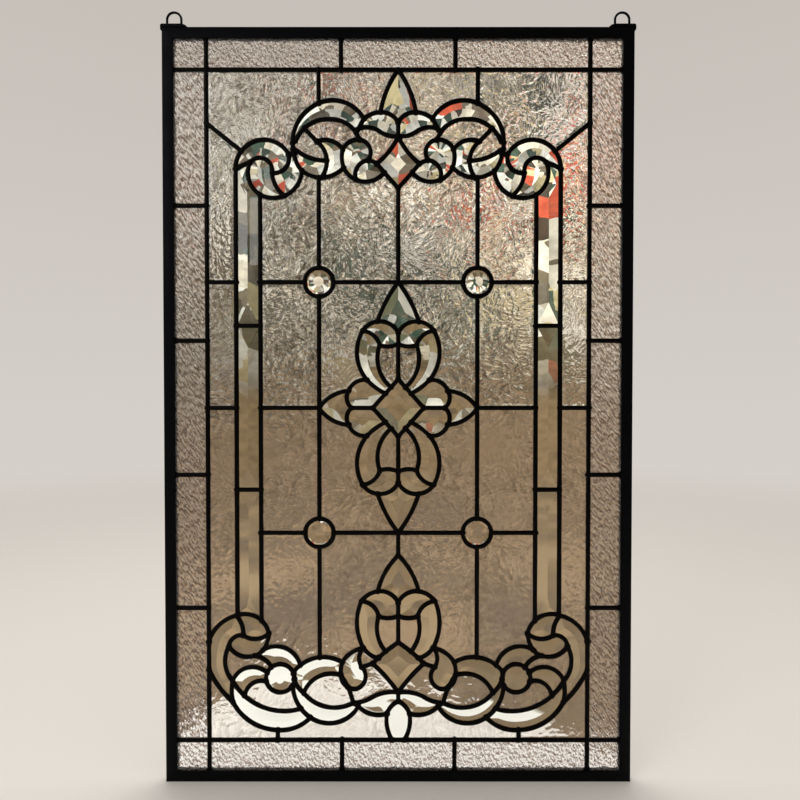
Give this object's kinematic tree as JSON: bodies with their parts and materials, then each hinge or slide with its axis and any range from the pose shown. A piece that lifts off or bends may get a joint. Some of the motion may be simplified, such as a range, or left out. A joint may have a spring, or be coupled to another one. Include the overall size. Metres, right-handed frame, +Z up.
{
  "type": "leaded bevelled glass window panel",
  "caption": "Leaded window panel of clear bevelled and textured glass with scroll ornaments, in a slim dark metal channel frame with hanging loops.",
  "frame": {"origin": "midway between the two hanging loops, at the height where the inside of their crowns bears on a hook, in the panel's middle plane", "axes": "+Z up along the panel's height, +X to the right along its width as seen from the front, -Y out of the bevelled front face"},
  "size_m": [0.5384, 0.0098, 0.8816],
  "materials": {
    "frame": "black, satin",
    "came": "black patina, waxed, slightly glossy",
    "border_glass": "clear, granular texture",
    "frost_glass": "clear, glue-chip frost texture",
    "bevel_glass": "clear, polished, bevelled",
    "jewel_glass": "clear, polished, faceted"
  },
  "bodies": {
    "root": {"came_lattice": "came", "crown_bevels": "bevel_glass", "centre_bevels": "bevel_glass", "base_bevels": "bevel_glass", "border_top": "border_glass", "border_bottom": "border_glass", "border_left": "border_glass", "border_right": "border_glass", "corner_top_left": "border_glass", "corner_top_right": "border_glass", "corner_bottom_left": "border_glass", "corner_bottom_right": "border_glass", "strip_upper_left": "bevel_glass", "strip_upper_right": "bevel_glass", "strip_middle_left": "bevel_glass", "strip_middle_right": "bevel_glass", "strip_lower_left": "bevel_glass", "strip_lower_right": "bevel_glass", "side_upper_left": "frost_glass", "side_upper_right": "frost_glass", "side_middle_left": "frost_glass", "side_middle_right": "frost_glass", "side_lower_left": "frost_glass", "side_lower_right": "frost_glass", "top_outer_left": "frost_glass", "top_outer_right": "frost_glass", "top_inner_left": "frost_glass", "top_inner_right": "frost_glass", "field_outer_1_left": "frost_glass", "field_outer_1_right": "frost_glass", "field_outer_2_left": "frost_glass", "field_outer_2_right": "frost_glass", "field_outer_3_left": "frost_glass", "field_outer_3_right": "frost_glass", "field_outer_4_left": "frost_glass", "field_outer_4_right": "frost_glass", "field_inner_1_left": "frost_glass", "field_inner_1_right": "frost_glass", "field_inner_2_left": "frost_glass", "field_inner_2_right": "frost_glass", "field_inner_3_left": "frost_glass", "field_inner_3_right": "frost_glass", "field_inner_4_left": "frost_glass", "field_inner_4_right": "frost_glass", "bottom_outer_left": "frost_glass", "bottom_outer_right": "frost_glass", "bottom_inner_left": "frost_glass", "bottom_inner_right": "frost_glass", "jewel_upper_left": "jewel_glass", "jewel_upper_right": "jewel_glass", "jewel_lower_left": "jewel_glass", "jewel_lower_right": "jewel_glass", "frame_right": "frame", "frame_left": "frame", "frame_top": "frame", "frame_bottom": "frame", "hanging_loop_right": "frame", "hanging_loop_left": "frame"}
  },
  "joints": []
}
